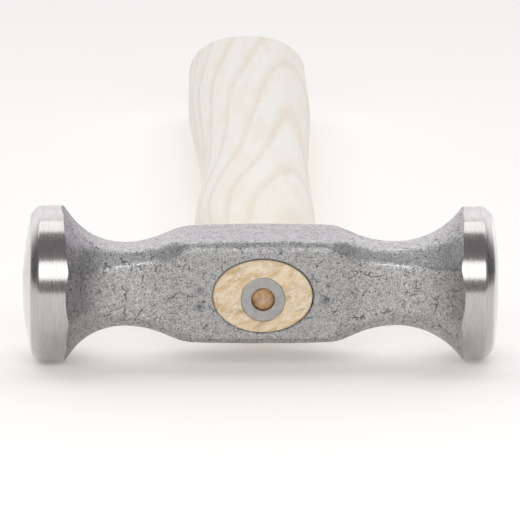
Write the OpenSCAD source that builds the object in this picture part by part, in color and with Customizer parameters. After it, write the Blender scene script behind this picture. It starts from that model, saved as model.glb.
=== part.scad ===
// Double-faced farrier's rounding hammer, lying on its side.
// The construction point is on the head's axis, midway through the eye: X runs along the
// head, Y along the handle to the butt, Z from cheek to cheek. rest() then lays it down.

/* [Block] */
// Thickness of the eye block from cheek to cheek
block_h = 28.7; // [24:0.1:36]
// How far each cheek swells over the eye
cheek_swell = 0.7; // [0:0.1:2]
// Depth of the eye block along the handle
block_d = 29.2; // [24:0.1:36]
// How much of the block's corner the long edge bevels take off
block_edge_cut = 1.2; // [0.4:0.1:3]
// Lean of the edge bevels, from the front facet towards the cheek
bevel_lean = 37.5; // [30:0.5:50]
// Radius where the block runs down into a neck
shoulder_r = 30; // [20:0.5:45]

/* [Necks] */
// Thickness of a neck from cheek to cheek
neck_h = 22.4; // [18:0.1:26]
// Depth of a neck along the handle
neck_d = 20.2; // [17:0.1:24]
// How much of a neck's corner the edge bevels take off
neck_edge_cut = 2.6; // [0.4:0.1:3.5]

/* [Domed face] */
// From the eye centre to the top of the dome
dome_reach = 68.2; // [60:0.1:85]
// Diameter of the domed end's rim
dome_rim_d = 44.5; // [38:0.1:54]
// Width of the ground band round the domed end
dome_band = 6.7; // [4:0.1:12]
// Bevel between band and dome
dome_bevel = 2.2; // [0.8:0.1:4]
// Radius of the dome
dome_r = 79; // [50:1:150]
// Radius of the flare that the cheeks make below the domed end
dome_cheek_flare = 20.5; // [14:0.1:30]
// Radius of the flare that the front and back facets make there
dome_front_flare = 17.5; // [14:0.1:30]
// Radius of the flare that the edge bevels make there
dome_edge_flare = 18.9; // [14:0.1:30]

/* [Flat face] */
// From the eye centre to the flat face
flat_reach = 66.8; // [60:0.1:85]
// Diameter of the flat end's rim
flat_rim_d = 43.5; // [38:0.1:54]
// Width of the ground band round the flat end
flat_band = 6.8; // [4:0.1:12]
// Bevel between band and face
flat_bevel = 2.6; // [0.8:0.1:4]
// Diameter of the truly flat middle of the face
flat_spot_d = 12; // [6:0.5:30]
// Radius by which the face falls away outside the flat middle
crown_r = 70; // [40:1:200]
// Radius of the flare that the cheeks make below the flat end
flat_cheek_flare = 22.4; // [14:0.1:30]
// Radius of the flare that the front and back facets make there
flat_front_flare = 22.4; // [14:0.1:30]
// Radius of the flare that the edge bevels make there
flat_edge_flare = 24.4; // [14:0.1:36]

/* [Eye] */
// Length of the oval eye along the head
eye_w = 28.6; // [22:0.1:34]
// Height of the oval eye from cheek to cheek
eye_h = 21.2; // [16:0.1:22]
// How far the eye sits off the head's axis, towards the lower cheek
eye_drop = 0.7; // [0:0.1:1.5]
// Gap all round between the eye and the wood in it
eye_gap = 0.2; // [0.05:0.05:0.5]
// Relief round the front mouth of the eye, this wide and this deep
eye_relief = 0.4; // [0.2:0.1:1]

/* [Handle] */
// From the eye centre to the end of the butt
handle_reach = 345; // [260:1:420]
// Lip of the shoulder that the head sits against, all round the eye
shoulder_lip = 1.2; // [0.8:0.1:3]
// From the eye centre to the swell behind the head
swell_at = 80; // [50:1:110]
// Width of the swell
swell_w = 36; // [30:0.1:44]
// Height of the swell
swell_h = 25; // [20:0.1:32]
// From the eye centre to the waist
waist_at = 160; // [120:1:200]
// Width of the waist
waist_w = 32.8; // [28:0.1:40]
// Height of the waist
waist_h = 23.4; // [20:0.1:30]
// From the eye centre to the fullest part of the grip
grip_at = 280; // [220:1:320]
// Width of the grip there
grip_w = 38.8; // [32:0.1:46]
// Height of the grip there
grip_h = 26; // [22:0.1:34]
// Width of the butt
butt_w = 38; // [30:0.1:46]
// Height of the butt
butt_h = 26.4; // [22:0.1:34]
// Radius round the edge of the butt
butt_round = 6; // [2:0.5:10]
// Roundness of the grip's oval: 2 is an ellipse, higher is squarer
oval = 2.25; // [2:0.05:3]

/* [Ring wedge] */
// Outer diameter of the ring wedge at its front
wedge_d = 12.5; // [9:0.1:16]
// Bore of the ring wedge
wedge_bore = 6.6; // [4:0.1:8]
// Length of the ring wedge
wedge_len = 13; // [8:0.5:18]
// Wall left at the wedge's thin end
wedge_tip = 0.5; // [0.3:0.1:1.5]
// How far the ring is driven below the end of the wood
wedge_sink = 0.3; // [0:0.1:1]
// How far the wood inside the ring lies below the end of the wood
core_sink = 2; // [0.3:0.1:4]
// How far the ring sits off the middle of the eye, towards the lower cheek
wedge_off = 1.1; // [0:0.1:2]
// Clearance between ring and wood
wedge_gap = 0.05; // [0.02:0.01:0.2]

/* [Hidden] */
$fn = 96;

// head
half_h = block_h / 2;
half_d = block_d / 2;
dome_rim = dome_rim_d / 2;
flat_rim = flat_rim_d / 2;
flat_spot = flat_spot_d / 2;
dome_lip = dome_rim - dome_bevel;
dome_lip_x = dome_reach - dome_r + sqrt(pow(dome_r, 2) - pow(dome_lip, 2));
dome_band_x = dome_lip_x - dome_bevel;
flat_lip = flat_rim - flat_bevel;
flat_lip_x = face_x(flat_lip);
flat_band_x = flat_lip_x - flat_bevel;
dome_neck_x = dome_band_x - dome_band - flare_run(dome_rim - neck_h / 2, dome_cheek_flare);
flat_neck_x = flat_band_x - flat_band - flare_run(flat_rim - neck_h / 2, flat_cheek_flare);
// reach of the edge bevels from the head's axis, on the block and on the necks
block_edge = half_d * cos(bevel_lean) + half_h * sin(bevel_lean) - block_edge_cut;
neck_edge = (neck_d * cos(bevel_lean) + neck_h * sin(bevel_lean)) / 2 - neck_edge_cut;
crown_steps = 5;
// how far the forged form runs past what trims it
over = 1;
// width that clears the head at every lean, with room to spare
wide = 2 * (max(dome_rim, flat_rim, half_h, half_d) + cheek_swell + 5 * over);

// handle
sides = 48;
steps = 9;
round_steps = 5;
tenon_w = eye_w - 2 * eye_gap;
tenon_h = eye_h - 2 * eye_gap;
shoulder_w = eye_w + 2 * shoulder_lip;
shoulder_h = eye_h + 2 * shoulder_lip;
butt_y = handle_reach - butt_round;

// The hammer rests on the lower side of both rims and on the butt's lower edge.
rest_r = max(dome_rim, flat_rim);
low_side = butt_h / 2 + eye_drop;
tilt = asin(rest_r / norm([butt_y, low_side])) - atan(low_side / butt_y);
end_h = butt_h / 2 - butt_round - eye_drop;
far_y = max(handle_reach * cos(tilt) + end_h * sin(tilt), butt_y * cos(tilt) + butt_round);
mid_x = (flat_reach - dome_reach) / 2;
mid_y = (far_y - rest_r) / 2;

// how far along the head a flare of radius r takes to rise by h
function flare_run(h, r) = sqrt(2 * r * h - pow(h, 2));
// where the flat end's face lies at distance r from the head's axis
function face_x(r) = flat_reach - crown_r + sqrt(pow(crown_r, 2) - pow(max(0, r - flat_spot), 2));
function eased(t) = t * t * (3 - 2 * t);
function between(a, b, t) = a + (b - a) * eased(t);

// a point on an arc of radius r that leaves the neck level, once it has turned that far
function flare(neck_x, neck, r, turn) = [neck_x + r * sin(turn), neck + r * (1 - cos(turn))];

// upper half of one side of the forged form, from the eye out to past the rim
function half_outline(neck_x, body, neck, swell, flare_r, rim, reach) =
    let (
        down = acos(1 - (body - neck) / shoulder_r),
        up = acos(1 - (rim + over - neck) / flare_r),
        corner_x = neck_x - shoulder_r * sin(down)
    )
    concat(
        [for (t = [0 : 0.25 : 0.75]) [corner_x * t, body + swell * (1 - t * t)]],
        [for (t = [1 : -0.2 : 0.1]) flare(neck_x, neck, shoulder_r, -down * t)],
        [for (t = [0 : 0.125 : 1]) flare(neck_x, neck, flare_r, up * t)],
        [[reach + over, rim + over]]
    );

function flip_x(line) = [for (i = [len(line) - 1 : -1 : 0]) [-line[i][0], line[i][1]]];
function flip_y(line) = [for (i = [len(line) - 1 : -1 : 0]) [line[i][0], -line[i][1]]];
function tail(line) = [for (i = [1 : len(line) - 1]) line[i]];

// One view of the forged form, extruded square to that view.
module forged(body, neck, swell, dome_flare, flat_flare) {
    dome_side = half_outline(dome_neck_x, body, neck, swell, dome_flare, dome_rim, dome_reach);
    flat_side = half_outline(flat_neck_x, body, neck, swell, flat_flare, flat_rim, flat_reach);
    upper = concat(flip_x(dome_side), tail(flat_side));
    linear_extrude(wide, center = true)
        polygon(concat(upper, flip_y(upper)));
}

// Both ends as they leave the lathe: band, bevel and face. Clear of the block between.
module turned_ends() {
    crown = [for (i = [crown_steps : -1 : 0])
        let (r = between(flat_spot, flat_lip, i / crown_steps)) [r, face_x(r)]];
    out = dome_reach - dome_lip_x + over;
    rotate([0, 90, 0])
        rotate_extrude()
            intersection() {
                polygon(concat(
                    [
                        [0, -dome_lip_x - out],
                        [dome_lip - out, -dome_lip_x - out],
                        [dome_rim, -dome_band_x],
                        [dome_rim, -dome_neck_x],
                        [wide / 2, -dome_neck_x],
                        [wide / 2, flat_neck_x],
                        [flat_rim, flat_neck_x],
                        [flat_rim, flat_band_x]
                    ],
                    crown,
                    [[0, flat_reach]]
                ));
                union() {
                    translate([0, dome_r - dome_reach])
                        circle(dome_r);
                    square([wide, flat_reach + over]);
                }
            }
}

// An oval, w along the head and h from cheek to cheek, that runs along the handle.
module oval_post(w, h, y0, y1) {
    translate([0, y1, 0])
        rotate([90, 0, 0])
            linear_extrude(y1 - y0)
                polygon([for (i = [0 : sides - 1])
                    [w / 2 * cos(360 * i / sides), h / 2 * sin(360 * i / sides)]]);
}

module eye() {
    oval_post(eye_w, eye_h, -half_d - over, half_d + over);
    mouth_w = eye_w + 2 * eye_relief;
    mouth_h = eye_h + 2 * eye_relief;
    oval_post(mouth_w, mouth_h, -half_d - over, -half_d + eye_relief);
}

module head() {
    color("darkgray")
        rest()
            difference() {
                intersection() {
                    rotate([90, 0, 0])
                        forged(half_h, neck_h / 2, cheek_swell, dome_cheek_flare, flat_cheek_flare);
                    forged(half_d, neck_d / 2, 0, dome_front_flare, flat_front_flare);
                    for_edges(bevel_lean)
                        forged(block_edge, neck_edge, 0, dome_edge_flare, flat_edge_flare);
                    for_edges(-bevel_lean)
                        forged(block_edge, neck_edge, 0, dome_edge_flare, flat_edge_flare);
                    turned_ends();
                }
                in_eye()
                    eye();
            }
}

module for_edges(lean) {
    rotate([lean, 0, 0])
        children();
}

// Half width and half height of the bare handle at a distance from the eye centre.
function handle_size(y) =
    y < swell_at ? grown([shoulder_w, shoulder_h], [swell_w, swell_h], half_d, swell_at, y) :
    y < waist_at ? grown([swell_w, swell_h], [waist_w, waist_h], swell_at, waist_at, y) :
    y < grip_at ? grown([waist_w, waist_h], [grip_w, grip_h], waist_at, grip_at, y) :
    grown([grip_w, grip_h], [butt_w, butt_h], grip_at, butt_y, y);
function grown(from, to, y0, y1, y) = between(from, to, (y - y0) / (y1 - y0)) / 2;

function signed_power(v, p) = sign(v) * pow(abs(v), p);
function ring(size, y, square) = [for (i = [0 : sides - 1])
    let (a = 360 * i / sides)
    [size[0] * signed_power(cos(a), 2 / square), y, size[1] * signed_power(sin(a), 2 / square)]];
function stations(y0, y1) = [for (i = [1 : steps]) y0 + (y1 - y0) * i / steps];

module bare_handle() {
    tenon = [tenon_w, tenon_h] / 2;
    along = concat([half_d], stations(half_d, swell_at), stations(swell_at, waist_at),
        stations(waist_at, grip_at), stations(grip_at, butt_y));
    rings = concat(
        [ring(tenon, -half_d, 2), ring(tenon, half_d, 2)],
        [for (y = along) ring(handle_size(y), y, oval)],
        [for (i = [1 : round_steps])
            let (a = 90 * i / round_steps, in = butt_round * (1 - cos(a)))
            ring(handle_size(butt_y) - [in, in], butt_y + butt_round * sin(a), oval)]
    );
    last = len(rings) - 1;
    polyhedron(
        points = [for (r = rings) each r],
        faces = concat(
            [[for (i = [0 : sides - 1]) i]],
            [for (k = [0 : last - 1], i = [0 : sides - 1])
                let (j = (i + 1) % sides, a = k * sides)
                each [[a + i, a + sides + i, a + sides + j], [a + i, a + sides + j, a + j]]],
            [[for (i = [sides - 1 : -1 : 0]) last * sides + i]]
        )
    );
}

// A turned shape whose bottom faces the front of the eye, on the ring wedge's own axis.
module on_wedge_axis(depth) {
    translate([0, depth - half_d, -wedge_off])
        rotate([-90, 0, 0])
            rotate_extrude()
                children();
}

// Section of the ring, with room round it for the slot that it is driven into.
module ring_section(room, mouth) {
    bore = wedge_bore / 2 - room;
    slope = (wedge_d / 2 - wedge_bore / 2 - wedge_tip) / wedge_len;
    polygon([
        [bore, -mouth],
        [wedge_d / 2 + room + slope * mouth, -mouth],
        [wedge_bore / 2 + wedge_tip + room, wedge_len],
        [bore, wedge_len]
    ]);
}

module handle() {
    color("burlywood")
        rest()
            in_eye()
                difference() {
                    bare_handle();
                    on_wedge_axis(wedge_sink)
                        ring_section(wedge_gap, wedge_sink + over);
                    on_wedge_axis(-over)
                        square([wedge_bore / 2, core_sink + over]);
                }
}

module ring_wedge() {
    color("gray")
        rest()
            in_eye()
                on_wedge_axis(wedge_sink)
                    ring_section(0, 0);
}

// Moves what is made on the head's axis to the middle of the eye.
module in_eye() {
    translate([0, 0, -eye_drop])
        children();
}

// Lays the hammer down, with the middle of its footprint at the origin.
module rest() {
    translate([-mid_x, -mid_y, rest_r])
        rotate([-tilt, 0, 0])
            children();
}

head();
handle();
ring_wedge();
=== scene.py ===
import math

import bmesh
import bpy
import numpy as np
from mathutils import Matrix, Vector


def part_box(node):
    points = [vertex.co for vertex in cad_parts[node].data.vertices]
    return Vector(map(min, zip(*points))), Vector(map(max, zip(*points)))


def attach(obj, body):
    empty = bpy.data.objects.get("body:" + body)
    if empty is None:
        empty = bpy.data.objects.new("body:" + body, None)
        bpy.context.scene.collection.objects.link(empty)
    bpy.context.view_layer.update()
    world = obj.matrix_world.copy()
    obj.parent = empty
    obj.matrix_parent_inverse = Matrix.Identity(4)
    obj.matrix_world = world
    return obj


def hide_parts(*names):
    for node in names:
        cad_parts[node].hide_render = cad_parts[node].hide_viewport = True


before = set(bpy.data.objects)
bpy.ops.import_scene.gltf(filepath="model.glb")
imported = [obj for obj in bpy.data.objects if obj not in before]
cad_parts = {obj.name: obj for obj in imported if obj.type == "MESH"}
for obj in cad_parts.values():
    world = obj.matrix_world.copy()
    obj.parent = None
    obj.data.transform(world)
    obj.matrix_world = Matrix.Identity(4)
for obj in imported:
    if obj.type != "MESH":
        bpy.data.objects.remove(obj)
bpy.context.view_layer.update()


# ---------------------------------------------------------------- how the hammer lies
# A hammer that is put down rests on the lower edges of its two rims and on the butt. The
# head's axis stays level, and the handle falls a little towards the butt. Pieces are made in
# millimetres from the head's axis midway through the eye, then laid down.
mm = 0.001
head_low, head_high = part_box("head")
handle_low, handle_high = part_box("handle")
rim_r = (head_high[2] - head_low[2]) / 2 / mm
butt_reach = 345.0
butt_round = 6.0
butt_h = 26.4
butt_y = butt_reach - butt_round
# the eye and the handle sit a little below the head's axis
eye_drop = 0.7
low_side = butt_h / 2 + eye_drop
droop = math.asin(rim_r / math.hypot(butt_y, low_side)) - math.atan2(low_side, butt_y)
# the point that pieces are made from: on the head's axis, midway through the eye
eye_centre = Vector((
    (handle_low[0] + handle_high[0]) / 2,
    (head_low[1] + head_high[1]) / 2,
    (head_low[2] + head_high[2]) / 2,
))


def laid_down(points):
    """Points of a piece, in metres, where they are when the hammer lies on the table."""
    turn = np.array(Matrix.Rotation(-droop, 3, "X"))
    return np.asarray(points) * mm @ turn.T + np.array(eye_centre)


# ---------------------------------------------------------------- camera
# A long lens a little over two metres away looks along the handle from the eye's end and a
# little above, so that the head fills the view and the handle runs away behind it.
camera_distance = 2.2
camera_rise = math.radians(11.5) + droop
camera_turn = math.radians(0.75)
camera_roll = math.radians(0.08)
view_width = 0.1478
sensor_width = 36
far_limit = 20
aim_shift = Vector((-0.7, 0, 6.8))
aim = eye_centre + aim_shift * mm
away = Vector((
    -math.sin(camera_turn) * math.cos(camera_rise),
    -math.cos(camera_turn) * math.cos(camera_rise),
    math.sin(camera_rise),
))
lens = bpy.data.cameras.new("camera")
lens.sensor_width = sensor_width
lens.lens = sensor_width * camera_distance / view_width
lens.clip_end = far_limit
camera = bpy.data.objects.new("camera", lens)
bpy.context.scene.collection.objects.link(camera)
facing = away.to_track_quat("Z", "Y").to_matrix().to_4x4()
rolled = Matrix.Rotation(camera_roll, 4, "Z")
camera.matrix_world = Matrix.Translation(aim + away * camera_distance) @ facing @ rolled
bpy.context.scene.camera = camera


# ---------------------------------------------------------------- table and studio light
# The hammer lies on a white board. One hot softbox hangs above the camera, and a broad one
# overhead and a little behind. The wall behind is white, and the rest of the room is dim.
softbox_distance = 1.0


def softbox(name, rise, width, depth, brightness):
    """A softbox facing the hammer, at an angle up from the camera's side of the table."""
    light = bpy.data.lights.new(name, "AREA")
    light.shape = "RECTANGLE"
    light.size = width
    light.size_y = depth
    light.energy = brightness * width * depth * math.pi
    box = bpy.data.objects.new(name, light)
    bpy.context.scene.collection.objects.link(box)
    out = Vector((0, -math.cos(rise), math.sin(rise)))
    aimed = out.to_track_quat("Z", "Y").to_matrix().to_4x4()
    box.matrix_world = Matrix.Translation(eye_centre + out * softbox_distance) @ aimed


softbox("front_softbox", rise=math.radians(32.2), width=1.7, depth=0.48, brightness=2.0)
softbox("top_softbox", rise=math.radians(106.5), width=1.8, depth=0.42, brightness=1.52)

board_half = 4.0
board_white = (0.95, 0.94, 0.91, 1)
board_glow = (1, 0.99, 0.97, 1)
board_glow_strength = 0.18
board_mesh = bpy.data.meshes.new("white_board")
board_corners = [(-board_half, -board_half, 0), (board_half, -board_half, 0),
                 (board_half, board_half, 0), (-board_half, board_half, 0)]
board_mesh.from_pydata(board_corners, [], [(0, 1, 2, 3)])
board = bpy.data.objects.new("white_board", board_mesh)
bpy.context.scene.collection.objects.link(board)
board_paint = bpy.data.materials.new("white_board")
board_paint.use_nodes = True
board_finish = board_paint.node_tree.nodes["Principled BSDF"]
board_finish.inputs["Base Color"].default_value = board_white
board_finish.inputs["Emission Color"].default_value = board_glow
board_finish.inputs["Emission Strength"].default_value = board_glow_strength
board_finish.inputs["Roughness"].default_value = 0.9
board_finish.inputs["Specular IOR Level"].default_value = 0.1
board_mesh.materials.append(board_paint)

room_tint = (0.985, 0.957, 1, 1)
# how bright the room is, from the sides and the camera's end, at 0, to straight behind, at 1
wall_stops = [(0.4, 0.17), (0.6, 0.98), (0.82, 1.0), (1.0, 0.72)]
# dim cloths hang on both sides
cloth_start, cloth_end = 0.8, 0.93
open_strength, cloth_strength = 1.5, 0.55
room = bpy.data.worlds.new("studio")
bpy.context.scene.world = room
room.use_nodes = True
room_nodes = room.node_tree
room_light = room_nodes.nodes["Background"]
room_light.inputs["Color"].default_value = room_tint
towards = room_nodes.nodes.new("ShaderNodeTexCoord")
towards_axes = room_nodes.nodes.new("ShaderNodeSeparateXYZ")
wall = room_nodes.nodes.new("ShaderNodeValToRGB")
while len(wall.color_ramp.elements) < len(wall_stops):
    wall.color_ramp.elements.new(0.5)
for stop, (at, grey) in zip(wall.color_ramp.elements, wall_stops):
    stop.position = at
    stop.color = (grey, grey, grey, 1)
room_nodes.links.new(towards.outputs["Generated"], towards_axes.inputs["Vector"])
room_nodes.links.new(towards_axes.outputs["Y"], wall.inputs["Fac"])
cloth = room_nodes.nodes.new("ShaderNodeMapRange")
cloth.inputs["From Min"].default_value = cloth_start
cloth.inputs["From Max"].default_value = cloth_end
cloth.inputs["To Min"].default_value = open_strength
cloth.inputs["To Max"].default_value = cloth_strength
sideways = room_nodes.nodes.new("ShaderNodeMath")
sideways.operation = "ABSOLUTE"
both = room_nodes.nodes.new("ShaderNodeMath")
both.operation = "MULTIPLY"
room_nodes.links.new(towards_axes.outputs["X"], sideways.inputs[0])
room_nodes.links.new(sideways.outputs["Value"], cloth.inputs["Value"])
room_nodes.links.new(wall.outputs["Color"], both.inputs[0])
room_nodes.links.new(cloth.outputs["Result"], both.inputs[1])
room_nodes.links.new(both.outputs["Value"], room_light.inputs["Strength"])
bpy.context.scene.view_settings.view_transform = "Standard"


# ---------------------------------------------------------------- head
# One steel forging with a domed and a nearly flat striking face. The dies leave flat facets
# with soft edges and a pitted, shot-blasted skin. Both ends are then turned and ground, and
# the grinding leaves a scalloped line where it meets the facets' flares.
block_h = 14.35
block_d = 14.6
cheek_swell = 0.7
swell_reach = 24.0
block_edge = 19.4
neck_h = 11.2
neck_d = 10.1
neck_edge = 12.25
block_crown = 19.3
neck_crown = 12.95
shoulder_r = 30.0
bevel_lean = 37.5
dome_reach = 68.2
dome_r = 79.0
flat_reach = 66.8
flat_spot = 6.0
crown_r = 70.0
eye_w = 28.6
eye_h = 21.2
eye_chamfer = 0.4
grind_break = 0.35
# how far the corner between block and neck is eased on each kind of facet
cheek_ease = 1.6
front_ease = 2.2
edge_ease = 1.8
# by this distance from the eye the bevels have turned to the end's own lean
lean_reach = 55
# how sharp the long edges are, by distance from the eye: crisp on the block, soft on the
# neck and crisper again at the rim
edge_hardness = [(20, 58), (29, 34), (42, 34), (54, 60)]
# how much the long edges have been rubbed, and how strong their painted glints are, by distance from the eye
edge_wear = [(22, 0.75), (28, 1), (44, 1), (52, 0.3)]
# unevenness left by the dies: how long the lumps are, and how high
skin_lumps = [(9, 0.1), (3.1, 0.035), (1.3, 0.02)]
edge_lump, edge_lump_height = 1.0, 0.05
skin_sink = 0.08
# the unevenness dies out in this run before the ground band
calm_run = 0.8
# rows of points follow the scalloped line less and less, to this far short of the flare
scallop_run = 8
# the flare meets the rim within this run from where it starts
flare_search = 24
face_core = 0.6
face_rows, band_rows, skin_rows = 30, 12, 150
# smudges beside the eye: how far across, how far up, and size
smudges = [(-17.8, 0.9, 1.6), (-18.0, -3.8, 1.9), (17.6, -2.1, 2.1), (18.6, 2.2, 1.2)]

flare_slope = 1.3
domed_end = {"side": -1, "rim": rim_r, "bevel": 2.2, "neck": 38.9, "edge_neck": 41.0, "lean": 37.5,
             "cheek_flare": 19.7, "front_flare": 15.2, "edge_flare": 14.0, "crown_flare": 16.6}
flat_end = {"side": 1, "rim": 21.75, "bevel": 2.6, "neck": 37.3, "edge_neck": 39.4, "lean": 40.75,
            "cheek_flare": 23.9, "front_flare": 21.7, "edge_flare": 20.1, "crown_flare": 22.0}

around = 224
angles = np.arange(around) * 2 * np.pi / around


def rough(points, size, seed):
    """Smooth random heights from -1 to 1 at points, with lumps about one size across."""
    cell = points / size
    low = np.floor(cell).astype(np.int64)
    part = cell - low
    part = part * part * (3 - 2 * part)
    total = 0
    for corner in np.ndindex(2, 2, 2):
        key = (low + np.array(corner)) @ np.array([73856093, 19349663, 83492791]) + seed * 9176263
        key = (key ^ (key >> 13)) * 1274126177 & 0x7FFFFFFF
        key = (key ^ (key >> 15)) * 2246822519 & 0x7FFFFFFF
        height = ((key >> 8) & 0xFFFF) / 32767.5 - 1
        total = total + height * np.prod(np.where(corner, part, 1 - part), axis=-1)
    return total


def lower_of(a, b, width):
    """The lower of two heights, with the corner between them eased over a width."""
    near = np.clip(width - np.abs(a - b), 0, None) / width
    return np.minimum(a, b) - near ** 2 * width / 4


def facet_reach(x, block, neck, swell, start, flare, corner):
    """How far one kind of facet stands off the head's axis, at x along one end."""
    out = np.clip(x - start, 0, None)
    curved = np.minimum(out, flare * math.sin(math.atan(flare_slope)))
    flare_up = flare - np.sqrt(flare ** 2 - curved ** 2) + (out - curved) * flare_slope
    back = np.clip(start - x, 0, None)
    run_down = shoulder_r - np.sqrt(np.clip(shoulder_r ** 2 - back ** 2, 0, None))
    inner = lower_of(neck + run_down, block + swell * (1 - (x / swell_reach) ** 2), corner)
    return np.where(back > 0, inner, neck + flare_up)


def forged_radius(x, angle, end):
    """From the head's axis to the forged skin: twelve facets with rounded edges between.
    Also says how near each point is to an edge of the front or back facet, from 0 to 1."""
    neck, edge_neck = end["neck"], end["edge_neck"]
    cheek = facet_reach(x, block_h, neck_h, cheek_swell, neck, end["cheek_flare"], cheek_ease)
    front = facet_reach(x, block_d, neck_d, 0, neck, end["front_flare"], front_ease)
    edge = facet_reach(x, block_edge, neck_edge, 0, edge_neck, end["edge_flare"], edge_ease)
    crown = facet_reach(x, block_crown, neck_crown, 0, edge_neck, end["crown_flare"], edge_ease)
    lean = np.radians(bevel_lean + (end["lean"] - bevel_lean) * np.clip(x / lean_reach, 0, 1) ** 2)
    up = (lean + np.pi / 2) / 2
    facets = [(front, 0), (front, np.pi), (cheek, np.pi / 2), (cheek, -np.pi / 2)]
    for reach, tilt in ((edge, lean), (crown, up)):
        facets += [(reach, tilt), (reach, -tilt), (reach, np.pi - tilt), (reach, np.pi + tilt)]
    hard = np.interp(x, *zip(*edge_hardness))
    weights = [(np.clip(np.cos(angle - centre), 0.001, None) / reach) ** hard
               for reach, centre in facets]
    total = sum(weights)
    on_front = (weights[0] + weights[1]) / total
    on_edge = (weights[4] + weights[5] + weights[6] + weights[7]) / total
    return total ** (-1 / hard), 4 * on_front * on_edge


def hoop(x, r):
    """A ring of points round the head's axis."""
    x = x + 0 * angles
    return np.stack([x, -r * np.cos(angles), r * np.sin(angles)], -1)


def face_place(end, r):
    """How far out the striking face lies, at a distance from the head's axis."""
    if end is domed_end:
        return dome_reach - dome_r + np.sqrt(dome_r ** 2 - r ** 2)
    return flat_reach - crown_r + np.sqrt(crown_r ** 2 - np.clip(r - flat_spot, 0, None) ** 2)


def half_head(end):
    """Rings of one end, from the middle of its face to the middle of the block."""
    side, rim, bevel = end["side"], end["rim"], end["bevel"]
    lip = rim - bevel
    lip_x = face_place(end, lip)
    turned = [(face_place(end, r), r) for r in np.linspace(face_core, lip - grind_break, face_rows)]
    turned += [(lip_x - grind_break * 0.3, lip + grind_break * 0.1)]
    turned += [(lip_x - bevel * t, lip + bevel * t) for t in (0.2, 0.5, 0.8)]
    turned += [(lip_x - bevel - grind_break * 0.1, rim - grind_break * 0.3),
               (lip_x - bevel - grind_break, rim)]
    rings = [hoop(side * x, r) for x, r in turned]
    # where the flare of the forging reaches the rim, for each angle
    trial = np.linspace(end["neck"], end["neck"] + flare_search, 1200)
    flares = [forged_radius(trial, a + 0 * trial, end)[0] for a in angles]
    meets = np.array([np.interp(rim, flare, trial) for flare in flares])
    usual = meets.mean()
    band_x = turned[-1][0]
    rings += [hoop(side * (band_x + (meets - band_x) * t), rim)
              for t in np.linspace(0, 1, band_rows)[1:]]
    ground_count = len(rings)
    worn = [0 * angles] * ground_count
    # rings down the flare are spaced by length along the cheek
    share = np.linspace(1, 0, 1500)
    trail = forged_radius(share * usual, np.pi / 2, end)[0]
    steps = np.hypot(np.diff(share * usual), np.diff(np.minimum(trail, rim)))
    length = np.append(0, np.cumsum(steps))
    for s in np.interp(np.linspace(0, length[-1], skin_rows), length, share)[1:]:
        flared = (s * usual - end["neck"] + scallop_run) / (usual - end["neck"] + scallop_run)
        scallop = np.clip(flared, 0, 1) ** 2
        x = s * (usual + (meets - usual) * scallop)
        reach, near_edge = forged_radius(x, angles, end)
        skin = hoop(side * x, reach)
        calm = np.clip((meets - x) / calm_run, 0, 1)
        lumps = sum(rough(skin, size, seed) * height
                    for seed, (size, height) in enumerate(skin_lumps, 1))
        lumps += near_edge * rough(skin, edge_lump, 4) * edge_lump_height
        outward = hoop(0, 1)
        rings.append(skin + outward * ((lumps - skin_sink) * calm)[:, None])
        worn.append(near_edge * calm * np.interp(x, *zip(*edge_wear)))
    return rings, worn, ground_count


def lofted(name, rings, first=None, last=None):
    """A smooth skin over rings of points: closed by two end points, or round on itself."""
    rings = np.array(rings)
    count, n = rings.shape[:2]
    points = rings.reshape(-1, 3)
    joins = count - 1 if first is not None else count
    faces = []
    for k in range(joins):
        a, b = k * n, (k + 1) % count * n
        faces += [(a + j, a + (j + 1) % n, b + (j + 1) % n, b + j) for j in range(n)]
    if first is not None:
        points = np.concatenate([points, [first, last]])
        top, tail = len(points) - 2, (count - 1) * n
        faces += [(top, (j + 1) % n, j) for j in range(n)]
        faces += [(tail + j, tail + (j + 1) % n, top + 1) for j in range(n)]
    mesh = bpy.data.meshes.new(name)
    mesh.from_pydata(laid_down(points).tolist(), [], faces)
    mesh.polygons.foreach_set("use_smooth", [True] * len(faces))
    work = bmesh.new()
    work.from_mesh(mesh)
    bmesh.ops.recalc_face_normals(work, faces=work.faces)
    work.to_mesh(mesh)
    work.free()
    piece = bpy.data.objects.new(name, mesh)
    bpy.context.scene.collection.objects.link(piece)
    return piece


def oval(w, h, y, n=96, square=2.0, middle=(0, 0)):
    """A ring of points round the handle's line."""
    a = np.arange(n) * 2 * np.pi / n
    x = middle[0] + w / 2 * np.sign(np.cos(a)) * np.abs(np.cos(a)) ** (2 / square)
    z = middle[1] + h / 2 * np.sign(np.sin(a)) * np.abs(np.sin(a)) ** (2 / square)
    return np.stack([x, y + 0 * a, z], -1)


dome_rings, dome_worn, dome_ground = half_head(domed_end)
flat_rings, flat_worn, flat_ground = half_head(flat_end)
head_rings = dome_rings + flat_rings[-2::-1]
head = lofted("hammer_head", head_rings, (-dome_reach, 0, 0), (flat_reach, 0, 0))
wear = head.data.attributes.new("worn", "FLOAT", "POINT")
wear.data.foreach_set("value", np.append(np.concatenate(dome_worn + flat_worn[-2::-1]), [0, 0]))

forged_skin, ground_steel = 0, 1
ring_faces = (len(head_rings) - 1) * around
zone = np.full(len(head.data.polygons), ground_steel)
zone[(dome_ground - 1) * around:ring_faces - (flat_ground - 1) * around] = forged_skin

# the eye is punched and drifted through, and both its mouths are chamfered
punch_over = 1
deep = block_d + punch_over
mouth = 2 * (eye_chamfer + punch_over)
straight = block_d - eye_chamfer
punch_sizes = [(mouth, -deep), (0, -straight), (0, 0), (0, straight), (mouth, deep)]
punch_rings = [oval(eye_w + more, eye_h + more, y, middle=(0, -eye_drop)) for more, y in punch_sizes]
punch = lofted("punch", punch_rings, (0, -deep, -eye_drop), (0, deep, -eye_drop))


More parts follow.
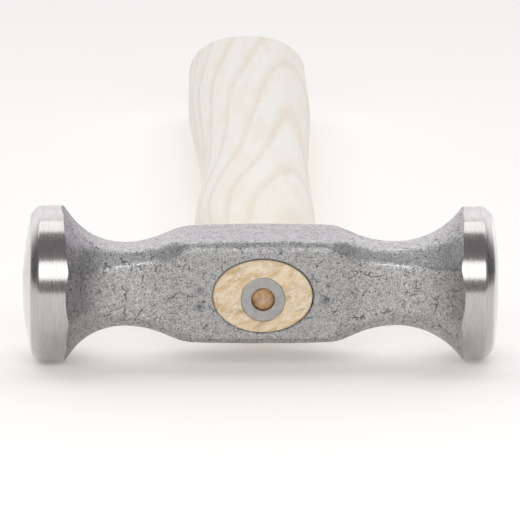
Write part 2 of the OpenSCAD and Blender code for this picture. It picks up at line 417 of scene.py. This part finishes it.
def node(tree, kind, **settings):
    made = tree.nodes.new("ShaderNode" + kind)
    for key, value in settings.items():
        setattr(made, key, value)
    return made


def plug(tree, socket, value):
    """Sets a socket, or joins another node to it."""
    if isinstance(value, bpy.types.NodeSocket):
        tree.links.new(value, socket)
    else:
        socket.default_value = value


def sums(tree, operation, *values):
    made = node(tree, "Math", operation=operation)
    for socket, value in zip(made.inputs, values):
        plug(tree, socket, value)
    return made.outputs["Value"]


def cloudy(tree, where, size, detail=2.0, roughness=0.5, distortion=0.0):
    """Noise with patches about one size across, in millimetres."""
    made = node(tree, "TexNoise")
    plug(tree, made.inputs["Vector"], where)
    made.inputs["Scale"].default_value = 1 / size
    made.inputs["Detail"].default_value = detail
    made.inputs["Roughness"].default_value = roughness
    made.inputs["Distortion"].default_value = distortion
    return made.outputs["Fac"]


def graded(tree, value, stops):
    """Colours or greys blended along a value."""
    made = node(tree, "ValToRGB")
    ramp = made.color_ramp
    while len(ramp.elements) < len(stops):
        ramp.elements.new(0.5)
    for element, (at, colour) in zip(ramp.elements, stops):
        element.position = at
        element.color = (*colour, 1) if isinstance(colour, tuple) else (colour, colour, colour, 1)
    plug(tree, made.inputs["Fac"], value)
    return made.outputs["Color"]


def blended(tree, share, first, second):
    """Two colours mixed by a share. A Mix node's colours are its seventh and eighth inputs."""
    made = node(tree, "Mix", data_type="RGBA", blend_type="MIX")
    plug(tree, made.inputs["Factor"], share)
    for socket, value in ((made.inputs[6], first), (made.inputs[7], second)):
        plug(tree, socket, (*value, 1) if isinstance(value, tuple) else value)
    return made.outputs[2]


def bumps(tree, height, depth, under=None):
    """Relief from a 0 to 1 height, depth mm high, on top of another relief."""
    made = node(tree, "Bump")
    made.inputs["Strength"].default_value = 1
    made.inputs["Distance"].default_value = depth * mm
    plug(tree, made.inputs["Height"], height)
    if under is not None:
        plug(tree, made.inputs["Normal"], under)
    return made.outputs["Normal"]


def new_finish(name):
    """A material whose coordinates are millimetres from the eye, along head, handle, up."""
    made = bpy.data.materials.new(name)
    made.use_nodes = True
    tree = made.node_tree
    place = node(tree, "TexCoord")
    own = node(tree, "Mapping", vector_type="TEXTURE")
    own.inputs["Location"].default_value = eye_centre
    own.inputs["Rotation"].default_value = (-droop, 0, 0)
    own.inputs["Scale"].default_value = (mm, mm, mm)
    tree.links.new(place.outputs["Object"], own.inputs["Vector"])
    return made, tree, tree.nodes["Principled BSDF"], own.outputs["Vector"]


def stretched(tree, where, scale):
    made = node(tree, "VectorMath", operation="MULTIPLY")
    plug(tree, made.inputs[0], where)
    made.inputs[1].default_value = scale
    return made.outputs["Vector"]


def forged_finish():
    """Shot-blasted forging: grey metal with a fine sparkle, scale pits, laps and stains."""
    made, tree, shader, where = new_finish("forged_steel")
    speck = cloudy(tree, where, 0.44, 3, 0.65)
    mottle = cloudy(tree, where, 1.3, 3, 0.6)
    grain = sums(tree, "ADD", sums(tree, "MULTIPLY", speck, 0.78), sums(tree, "MULTIPLY", mottle, 0.22))
    metal = graded(tree, grain, [(0.36, (0.12, 0.118, 0.12)), (0.42, (0.335, 0.335, 0.335)),
                                 (0.5, (0.49, 0.487, 0.48)), (0.64, (0.74, 0.735, 0.72))])
    # painted shade: the block round the eye is painted darker than the necks, with a few smudges beside it
    axes = node(tree, "SeparateXYZ")
    plug(tree, axes.inputs["Vector"], where)
    along = sums(tree, "MULTIPLY", sums(tree, "ABSOLUTE", axes.outputs["X"]), 0.02)
    metal = blended(tree, graded(tree, along, [(0.42, 0.13), (0.56, 0.0)]), metal, (0.16, 0.16, 0.165))
    # painted shade: darker still under the rims, in patches, most of all at the domed end
    end_to_end = sums(tree, "MULTIPLY_ADD", axes.outputs["X"], 1 / 140, 0.5)
    under_rims = graded(tree, end_to_end, [(0.09, 0.85), (0.19, 0.0), (0.86, 0.0), (0.9, 0.25)])
    patchy = graded(tree, cloudy(tree, where, 1.1, 4, 0.7), [(0.35, 0.45), (0.65, 1.0)])
    painted_rim_shade = sums(tree, "MULTIPLY", under_rims, patchy)
    metal = blended(tree, painted_rim_shade, metal, (0.17, 0.16, 0.185))
    for across, up, size in smudges:
        off = node(tree, "VectorMath", operation="DISTANCE")
        plug(tree, off.inputs[0], where)
        off.inputs[1].default_value = (across, -block_d, up)
        near = graded(tree, sums(tree, "DIVIDE", off.outputs["Value"], 2 * size), [(0.1, 1.0), (0.5, 0.0)])
        metal = blended(tree, sums(tree, "MULTIPLY", near, graded(tree, mottle, [(0.35, 0.25), (0.6, 0.85)])),
                        metal, (0.12, 0.12, 0.13))
    # laps: short wandering lines where scale was folded in
    wander = node(tree, "TexNoise")
    plug(tree, wander.inputs["Vector"], where)
    wander.inputs["Scale"].default_value = 1 / 1.6
    bent = node(tree, "VectorMath", operation="MULTIPLY_ADD")
    plug(tree, bent.inputs[0], wander.outputs["Color"])
    bent.inputs[1].default_value = (1.8, 1.8, 1.8)
    plug(tree, bent.inputs[2], where)
    lap = node(tree, "TexVoronoi", feature="DISTANCE_TO_EDGE")
    plug(tree, lap.inputs["Vector"], bent.outputs["Vector"])
    lap.inputs["Scale"].default_value = 1 / 5.0
    line = graded(tree, lap.outputs["Distance"], [(0.01, 1.0), (0.032, 0.0)])
    chosen = graded(tree, cloudy(tree, where, 3.0, 2), [(0.53, 0.0), (0.59, 1.0)])
    crack = sums(tree, "MULTIPLY", line, chosen)
    cell = node(tree, "TexVoronoi", feature="F1")
    plug(tree, cell.inputs["Vector"], where)
    cell.inputs["Scale"].default_value = 1 / 2.2
    pit = graded(tree, cell.outputs["Distance"], [(0.1, 1.0), (0.2, 0.0)])
    pit = sums(tree, "MULTIPLY", pit, graded(tree, cloudy(tree, where, 2.2, 2), [(0.47, 0.0), (0.53, 1.0)]))
    stain = graded(tree, cloudy(tree, where, 2.6, 3, 0.6), [(0.64, 0.0), (0.76, 0.5)])
    marks = sums(tree, "MAXIMUM", sums(tree, "MULTIPLY", crack, 0.9), sums(tree, "MULTIPLY", pit, 0.6))
    metal = blended(tree, stain, metal, (0.16, 0.16, 0.17))
    metal = blended(tree, sums(tree, "MULTIPLY", marks, 0.8), metal, (0.06, 0.058, 0.06))
    # long edges are burnished where they rub, so they are smoother, and are painted lighter in broken specks
    # as painted glints
    worn = node(tree, "Attribute", attribute_name="worn").outputs["Fac"]
    glints = graded(tree, cloudy(tree, where, 0.55, 2, 0.6), [(0.46, 0.0), (0.6, 1.0)])
    rubbed_glints = sums(tree, "MULTIPLY", graded(tree, worn, [(0.3, 0.0), (0.9, 1.0)]), glints)
    metal = blended(tree, sums(tree, "MULTIPLY", rubbed_glints, 0.3), metal, (0.8, 0.79, 0.78))
    plug(tree, shader.inputs["Base Color"], metal)
    shader.inputs["Metallic"].default_value = 1.0
    dull = graded(tree, mottle, [(0.3, 0.52), (0.7, 0.43)])
    plug(tree, shader.inputs["Roughness"], blended(tree, rubbed_glints, dull, (0.24, 0.24, 0.24)))
    relief = bumps(tree, mottle, 0.12)
    relief = bumps(tree, speck, 0.085, relief)
    relief = bumps(tree, sums(tree, "SUBTRACT", 1.0, marks), 0.1, relief)
    # the block's edges are peppered with small dents, the necks' less so
    dented = sums(tree, "MULTIPLY", graded(tree, worn, [(0.05, 0.0), (0.4, 1.0)]),
                  graded(tree, along, [(0.44, 1.0), (0.56, 0.3)]))
    dents = sums(tree, "MULTIPLY", cloudy(tree, where, 0.75, 2, 0.5), dented)
    relief = bumps(tree, dents, 0.3, relief)
    plug(tree, shader.inputs["Normal"], relief)
    return made


def ground_finish():
    """Steel ground round and round: bright, with fine lines that follow the rim."""
    made, tree, shader, where = new_finish("ground_steel")
    axes = node(tree, "SeparateXYZ")
    plug(tree, axes.inputs["Vector"], where)
    out = sums(tree, "SQRT", sums(tree, "ADD", sums(tree, "POWER", axes.outputs["Y"], 2.0),
                                  sums(tree, "POWER", axes.outputs["Z"], 2.0)))
    across = sums(tree, "ADD", sums(tree, "ABSOLUTE", axes.outputs["X"]), sums(tree, "MULTIPLY", out, -1.0))
    wound = node(tree, "CombineXYZ")
    plug(tree, wound.inputs["X"], across)
    plug(tree, wound.inputs["Y"], axes.outputs["Y"])
    plug(tree, wound.inputs["Z"], axes.outputs["Z"])
    fine = cloudy(tree, stretched(tree, wound.outputs["Vector"], (1 / 0.14, 1 / 3.5, 1 / 3.5)), 1.0, 2, 0.6)
    broad = cloudy(tree, stretched(tree, wound.outputs["Vector"], (1 / 0.5, 1 / 9.0, 1 / 9.0)), 1.0, 2, 0.6)
    lines = sums(tree, "ADD", sums(tree, "MULTIPLY", fine, 0.6), sums(tree, "MULTIPLY", broad, 0.4))
    steel = graded(tree, lines, [(0.3, (0.42, 0.405, 0.39)), (0.7, (0.6, 0.59, 0.57))])
    face = graded(tree, sums(tree, "MULTIPLY", out, 1 / 40), [(0.48, 0.8), (0.5, 0.0)])
    steel = blended(tree, face, steel, (0.82, 0.815, 0.81))
    plug(tree, shader.inputs["Base Color"], steel)
    shader.inputs["Metallic"].default_value = 1.0
    plug(tree, shader.inputs["Roughness"], graded(tree, fine, [(0.3, 0.2), (0.7, 0.3)]))
    shader.inputs["Anisotropic"].default_value = 0.8
    shader.inputs["Anisotropic Rotation"].default_value = 0.25
    turned = node(tree, "Tangent", direction_type="RADIAL", axis="X")
    plug(tree, shader.inputs["Tangent"], turned.outputs["Tangent"])
    relief = bumps(tree, fine, 0.02)
    relief = bumps(tree, broad, 0.04, relief)
    plug(tree, shader.inputs["Normal"], relief)
    return made


for finish in (forged_finish(), ground_finish()):
    head.data.materials.append(finish)
head.data.polygons.foreach_set("material_index", zone)
punch.data.materials.append(head.data.materials[forged_skin])

cut = head.modifiers.new("eye", "BOOLEAN")
cut.operation = "DIFFERENCE"
cut.solver = "MANIFOLD"
cut.object = punch
bpy.context.view_layer.update()
drifted = bpy.data.meshes.new_from_object(head.evaluated_get(bpy.context.evaluated_depsgraph_get()))
head.modifiers.clear()
head.data = drifted
bpy.data.objects.remove(punch)

# edges stay crisp where the grinding stops and at the eye's mouths
crisp = math.radians(28)
work = bmesh.new()
work.from_mesh(head.data)
for edge in work.edges:
    if len(edge.link_faces) == 2:
        one, two = edge.link_faces
        edge.smooth = one.material_index == two.material_index and edge.calc_face_angle(0) < crisp
work.to_mesh(head.data)
work.free()
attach(head, "root")
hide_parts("head")


# ---------------------------------------------------------------- handle
# One stick of pale ash, shaved to an oval and sanded. Its tenon fills the eye and is cut off
# flush in front, where the end grain shows. A ring wedge is driven in round a core of wood.
eye_gap = 0.2
shoulder_lip = 1.2
grip_square = 2.25
tenon_front = -block_d
ring_r = 6.25
ring_bore = 3.3
ring_length = 13.0
ring_tip = 0.5
ring_sunk = 0.3
ring_off = eye_drop + 1.1
core_sunk = 2.0
slot_gap = 0.05
in_eye = (0, -eye_drop)
# in front the tenon has settled a little to one side and down in the eye
settled = (-0.1, -eye_drop - 0.1)
stick_around = 160
stick_rows = 170
core_crush = 0.14
shave = 0.06
end_rows = 26
end_sunk = 0.08
round_rows = 8
butt_shares = (0.8, 0.6, 0.4, 0.2)
# shoulder, swell, waist, palm swell and butt: where along the stick, width, height and drift
handle_sizes = [(block_d, eye_w + 2 * shoulder_lip, eye_h + 2 * shoulder_lip, 0),
                (80, 36.0, 25.0, -1.0), (160, 32.8, 23.4, 0), (280, 38.8, 26.0, -0.6),
                (butt_y, 38.0, butt_h, -0.6)]
pith = (-9.5, 0, -25)
cone_slope = -0.035
ring_sway = 2.4
year_width = 2.3


def handle_size(y):
    """Width, height and sideways drift of the bare handle, easing from place to place."""
    for low, high in zip(handle_sizes, handle_sizes[1:]):
        if y <= high[0]:
            break
    t = (y - low[0]) / (high[0] - low[0])
    t = t * t * (3 - 2 * t)
    return [a + (b - a) * t for a, b in zip(low[1:], high[1:])]


def circle(r, y):
    """A ring of points round the ring wedge's line."""
    return oval(2 * r, 2 * r, y, stick_around, middle=(0, -ring_off))


def handle_rings():
    """From the middle of the core, down and up the wedge's slot, and along to the butt."""
    slope = (ring_r - ring_bore - ring_tip) / ring_length
    slot_foot = tenon_front + ring_sunk + ring_length
    core_r = ring_bore - slot_gap
    core_y = tenon_front + core_sunk
    # the core's crushed front, and down the ring's bore
    rings = [circle(r, core_y) for r in np.linspace(0.2, core_r - 0.15, 10)]
    for crushed in rings:
        crushed[:, 1] += core_crush + core_crush * rough(crushed * np.array([1, 0, 1]), 1.3, 13)
    rings += [circle(core_r, core_y + 0.3)]
    rings += [circle(core_r, y) for y in np.linspace(core_y + 0.6, slot_foot, 6)]
    rings += [circle(ring_bore + ring_tip + slot_gap, slot_foot)]
    # up the slot's outer wall, and out over the torn end grain
    mouth_r = ring_r + slot_gap + slope * ring_sunk
    rings += [circle(mouth_r - slope * down, tenon_front + down)
              for down in np.linspace(ring_length - 1, 0.25, 8)]
    w, h = eye_w - 2 * eye_gap, eye_h - 2 * eye_gap
    inner = circle(mouth_r + 0.15, tenon_front)
    outer = oval(w - 0.5, h - 0.5, tenon_front, stick_around, middle=settled)
    for t in np.linspace(0, 1, end_rows):
        ring = inner + (outer - inner) * t
        worked = rough(ring * np.array([1, 0, 1]), 2.6, 11) * 0.05
        worked += rough(ring * np.array([1, 0, 1.6]), 1.1, 12) * 0.025
        ring[:, 1] += end_sunk - worked * min(1, 8 * t, 8 * (1 - t))
        rings.append(ring)
    front_count = len(rings) + 1
    # along the tenon through the eye, and out over the shoulder
    rings += [oval(w - 0.14, h - 0.14, tenon_front + 0.16, stick_around, middle=settled),
              oval(w, h, tenon_front + 0.4, stick_around, middle=settled)]
    rings += [oval(w, h, y, stick_around, middle=settled)
              for y in np.linspace(tenon_front + 1, 0, 6)]
    rings += [oval(w, h, y, stick_around, middle=in_eye) for y in np.linspace(5, block_d, 6)]
    w, h = handle_size(block_d)[:2]
    rings += [oval(w - 1.2, h - 1.2, block_d, stick_around, grip_square, in_eye),
              oval(w - 0.2, h - 0.2, block_d + 0.2, stick_around, grip_square, in_eye)]
    # along the shaved stick
    for y in np.linspace(block_d + 0.6, butt_y, stick_rows):
        w, h, drift = handle_size(y)
        ring = oval(w, h, y, stick_around, grip_square)
        inward = ring * np.array([1, 0, 1]) / np.linalg.norm(ring[:, [0, 2]], axis=1)[:, None]
        shaved = shave + shave * rough(ring * np.array([1, 0.16, 1]), 7, 21)
        ring -= inward * shaved[:, None] * min(1, (y - block_d) / 10, (butt_y - y) / 5)
        rings.append(ring + np.array([drift, 0, -eye_drop]))
    # round the butt's edge, and in over its sawn face
    w, h, drift = handle_size(butt_y)
    middle = (drift, -eye_drop)
    for turn in np.linspace(0, np.pi / 2, round_rows + 1)[1:]:
        inset = 2 * butt_round * (1 - math.cos(turn))
        y = butt_y + butt_round * math.sin(turn)
        rings.append(oval(w - inset, h - inset, y, stick_around, grip_square, middle))
    w, h = w - 2 * butt_round, h - 2 * butt_round
    rings += [oval(w * t, h * t, butt_reach, stick_around, grip_square, middle) for t in butt_shares]
    return rings, front_count


stick_rings, front_count = handle_rings()
# the butt's sawn face starts half way round its rounded edge
butt_rows = round_rows // 2 + len(butt_shares)
core_middle = (0, tenon_front + core_sunk, -ring_off)
butt_middle = (0, butt_reach, -eye_drop)
stick = lofted("ash_handle", stick_rings, core_middle, butt_middle)


def growth_rings(tree, where):
    """From 0 to 1 across each year's wood. The rings are cones, so they arch along the stick."""
    sway = cloudy(tree, stretched(tree, where, (1 / 22, 1 / 260, 1 / 22)), 1.0, 2, 0.5)
    from_pith = node(tree, "VectorMath", operation="SUBTRACT")
    plug(tree, from_pith.inputs[0], where)
    from_pith.inputs[1].default_value = pith
    length = node(tree, "VectorMath", operation="LENGTH")
    plug(tree, length.inputs[0], stretched(tree, from_pith.outputs["Vector"], (1, 0, 1)))
    axes = node(tree, "SeparateXYZ")
    plug(tree, axes.inputs["Vector"], where)
    cone = sums(tree, "MULTIPLY_ADD", axes.outputs["Y"], cone_slope, length.outputs["Value"])
    cone = sums(tree, "MULTIPLY_ADD", sway, ring_sway, cone)
    return sums(tree, "FRACT", sums(tree, "DIVIDE", cone, year_width))


def long_grain_finish():
    """Pale sanded ash along the grain: soft growth rings, fine fibres and short open pores."""
    made, tree, shader, where = new_finish("ash_long_grain")
    late = graded(tree, growth_rings(tree, where),
                  [(0.0, 0.0), (0.6, 0.06), (0.85, 1.0), (0.94, 0.6), (1.0, 0.0)])
    fibre = cloudy(tree, stretched(tree, where, (1 / 0.5, 1 / 16, 1 / 0.5)), 1.0, 3, 0.6)
    broad = cloudy(tree, stretched(tree, where, (1 / 5, 1 / 40, 1 / 5)), 1.0, 2, 0.5)
    pores = graded(tree, cloudy(tree, stretched(tree, where, (1 / 0.3, 1 / 3.5, 1 / 0.3)), 1.0, 2, 0.5),
                   [(0.58, 0.0), (0.68, 1.0)])
    tone = graded(tree, fibre, [(0.3, (0.93, 0.905, 0.81)), (0.7, (0.98, 0.965, 0.88))])
    tone = blended(tree, graded(tree, broad, [(0.45, 0.0), (0.65, 0.35)]), tone, (0.90, 0.80, 0.62))
    tone = blended(tree, sums(tree, "MULTIPLY", late, 0.35), tone, (0.80, 0.68, 0.47))
    open_pores = sums(tree, "MULTIPLY", pores, late)
    tone = blended(tree, sums(tree, "MULTIPLY", open_pores, 0.35), tone, (0.55, 0.42, 0.27))
    # oil and handling have warmed the wood next to the head
    axes = node(tree, "SeparateXYZ")
    plug(tree, axes.inputs["Vector"], where)
    near_head = graded(tree, sums(tree, "MULTIPLY", axes.outputs["Y"], 0.01), [(0.3, 0.3), (1.0, 0.0)])
    tone = blended(tree, near_head, tone, (0.93, 0.82, 0.6))
    plug(tree, shader.inputs["Base Color"], tone)
    plug(tree, shader.inputs["Roughness"], graded(tree, fibre, [(0.3, 0.5), (0.7, 0.42)]))
    shader.inputs["Specular IOR Level"].default_value = 0.4
    relief = bumps(tree, fibre, 0.04)
    relief = bumps(tree, sums(tree, "SUBTRACT", 1.0, open_pores), 0.04, relief)
    plug(tree, shader.inputs["Normal"], relief)
    return made


def end_grain_finish():
    """Tan end grain, torn and smeared by the saw and the hammer. Inside the ring it is painted darker: partly
    the core's own tone, partly painted shade of its sunk face.
    """
    made, tree, shader, where = new_finish("ash_end_grain")
    # the torn fibres lie over in long folds that lean across the eye
    leaning = node(tree, "Mapping", vector_type="TEXTURE")
    plug(tree, leaning.inputs["Vector"], where)
    leaning.inputs["Rotation"].default_value = (0, math.radians(-24), 0)
    leaning.inputs["Scale"].default_value = (2.3, 5.0, 0.95)
    patch = cloudy(tree, leaning.outputs["Vector"], 2.2, 3, 0.5, 0.8)
    fold = cloudy(tree, leaning.outputs["Vector"], 2.6, 2, 0.45, 1.3)
    ridge = graded(tree, sums(tree, "ABSOLUTE", sums(tree, "SUBTRACT", fold, 0.5)),
                   [(0.0, 1.0), (0.035, 0.25), (0.08, 0.0)])
    fibre = cloudy(tree, where, 0.6, 3, 0.6)
    tone = graded(tree, patch, [(0.32, (0.60, 0.43, 0.24)), (0.48, (0.76, 0.58, 0.365)),
                                (0.66, (0.87, 0.715, 0.50))])
    tone = blended(tree, sums(tree, "MULTIPLY", ridge, 0.8), tone, (0.92, 0.86, 0.74))
    tone = blended(tree, graded(tree, fibre, [(0.32, 0.3), (0.42, 0.0)]), tone, (0.5, 0.34, 0.19))
    # painted shade: inside the ring the core is painted a darker orange-brown, deepest towards its rim where
    # it sits sunk; partly the core's own tone
    out = node(tree, "VectorMath", operation="DISTANCE")
    plug(tree, out.inputs[0], where)
    out.inputs[1].default_value = core_middle
    core = graded(tree, sums(tree, "DIVIDE", out.outputs["Value"], 2 * ring_bore),
                  [(0.3, 0.62), (0.5, 1.0), (0.51, 0.0)])
    core_tone_and_shade = graded(tree, cloudy(tree, where, 1.2, 3, 0.6),
                   [(0.38, (0.27, 0.13, 0.055)), (0.5, (0.47, 0.225, 0.075)), (0.62, (0.6, 0.33, 0.11))])
    tone = blended(tree, core, tone, core_tone_and_shade)
    # painted shade: the end grain is darkened in a band along its edge, where it meets the eye
    axes = node(tree, "SeparateXYZ")
    from_middle = node(tree, "VectorMath", operation="SUBTRACT")
    plug(tree, from_middle.inputs[0], where)
    from_middle.inputs[1].default_value = (settled[0], 0, settled[1])
    share = stretched(tree, from_middle.outputs["Vector"], (2 / eye_w, 0, 2 / eye_h))
    plug(tree, axes.inputs["Vector"], share)
    edge = sums(tree, "ADD", sums(tree, "POWER", axes.outputs["X"], 2.0),
                sums(tree, "POWER", axes.outputs["Z"], 2.0))
    tone = blended(tree, graded(tree, edge, [(0.925, 0.0), (0.975, 0.75)]), tone, (0.25, 0.15, 0.08))
    plug(tree, shader.inputs["Base Color"], tone)
    shader.inputs["Roughness"].default_value = 0.55
    shader.inputs["Specular IOR Level"].default_value = 0.35
    relief = bumps(tree, patch, 0.25)
    relief = bumps(tree, ridge, 0.08, relief)
    relief = bumps(tree, fibre, 0.05, relief)
    plug(tree, shader.inputs["Normal"], relief)
    return made


def butt_finish():
    """The sawn and sanded butt: each year's wood shows as an arc, and pores dot it all over."""
    made, tree, shader, where = new_finish("ash_butt")
    late = graded(tree, growth_rings(tree, where), [(0.0, 0.0), (0.6, 0.15), (0.88, 1.0), (1.0, 0.0)])
    pores = graded(tree, cloudy(tree, where, 0.45, 2, 0.5), [(0.56, 0.0), (0.66, 1.0)])
    fuzz = cloudy(tree, where, 0.9, 3, 0.6)
    tone = graded(tree, fuzz, [(0.3, (0.80, 0.69, 0.50)), (0.7, (0.88, 0.79, 0.61))])
    tone = blended(tree, sums(tree, "MULTIPLY", late, 0.6), tone, (0.60, 0.44, 0.25))
    tone = blended(tree, sums(tree, "MULTIPLY", pores, 0.35), tone, (0.42, 0.29, 0.16))
    plug(tree, shader.inputs["Base Color"], tone)
    shader.inputs["Roughness"].default_value = 0.55
    shader.inputs["Specular IOR Level"].default_value = 0.35
    relief = bumps(tree, fuzz, 0.04)
    relief = bumps(tree, sums(tree, "SUBTRACT", 1.0, pores), 0.04, relief)
    plug(tree, shader.inputs["Normal"], relief)
    return made


for finish in (long_grain_finish(), end_grain_finish(), butt_finish()):
    stick.data.materials.append(finish)
long_grain, end_grain, sawn_butt = 0, 1, 2
sort = np.full(len(stick.data.polygons), long_grain)
sort[:(front_count - 1) * stick_around] = end_grain
joined_rows = len(stick_rings) - 1
sort[(joined_rows - butt_rows) * stick_around:joined_rows * stick_around] = sawn_butt
# the two end fans come last: the core's middle, then the middle of the butt
sort[joined_rows * stick_around:] = np.repeat([end_grain, sawn_butt], stick_around)
stick.data.polygons.foreach_set("material_index", sort)
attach(stick, "root")
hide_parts("handle")


# ---------------------------------------------------------------- ring wedge
# A short tapered ring of plain steel, turned and parted off. It is hammered into the end
# grain until its flat end sits just below the wood, and it spreads the tenon in the eye.
ring_around = 128
ring_front = tenon_front + ring_sunk
ring_foot = ring_front + ring_length
corner = 0.18
corner_mid = corner * 0.3


def ring_loop(r, y):
    return oval(2 * r, 2 * r, y, ring_around, middle=(0, -ring_off))


outside = [ring_loop(ring_r - corner, ring_front),
           ring_loop(ring_r - corner_mid, ring_front + corner_mid),
           ring_loop(ring_r - 0.02, ring_front + corner)]
taper = (ring_r - ring_bore - ring_tip) / ring_length
outside += [ring_loop(ring_r - taper * t, ring_front + t) for t in np.linspace(0.6, ring_length, 14)]
inside = [ring_loop(ring_bore, y) for y in np.linspace(ring_foot, ring_front + corner, 12)]
inside += [ring_loop(ring_bore + corner_mid, ring_front + corner_mid),
           ring_loop(ring_bore + corner, ring_front)]
front_face = [ring_loop(r, ring_front)
              for r in np.linspace(ring_bore + corner, ring_r - corner, 14)[1:-1]]
ring = lofted("ring_wedge_steel", outside + inside + front_face)


def turned_finish():
    """Plain machined steel, matt, with the faint rings left by parting off."""
    made, tree, shader, where = new_finish("turned_steel")
    axes = node(tree, "SeparateXYZ")
    plug(tree, axes.inputs["Vector"], where)
    drop = sums(tree, "ADD", axes.outputs["Z"], ring_off)
    r = sums(tree, "SQRT", sums(tree, "ADD", sums(tree, "POWER", axes.outputs["X"], 2.0),
                                sums(tree, "POWER", drop, 2.0)))
    lathe = node(tree, "TexNoise", noise_dimensions="1D")
    plug(tree, lathe.inputs["W"], sums(tree, "ADD", r, axes.outputs["Y"]))
    lathe.inputs["Scale"].default_value = 7.0
    grain = cloudy(tree, where, 0.22, 3, 0.6)
    blur = cloudy(tree, where, 1.6, 2, 0.5)
    metal = graded(tree, grain, [(0.3, (0.37, 0.362, 0.356)), (0.7, (0.58, 0.575, 0.56))])
    metal = blended(tree, graded(tree, blur, [(0.42, 0.0), (0.66, 0.35)]), metal, (0.26, 0.26, 0.265))
    plug(tree, shader.inputs["Base Color"], metal)
    shader.inputs["Metallic"].default_value = 1.0
    plug(tree, shader.inputs["Roughness"], graded(tree, blur, [(0.3, 0.52), (0.7, 0.42)]))
    relief = bumps(tree, grain, 0.03)
    relief = bumps(tree, lathe.outputs["Fac"], 0.02, relief)
    plug(tree, shader.inputs["Normal"], relief)
    return made


ring.data.materials.append(turned_finish())
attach(ring, "root")
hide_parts("ring_wedge")
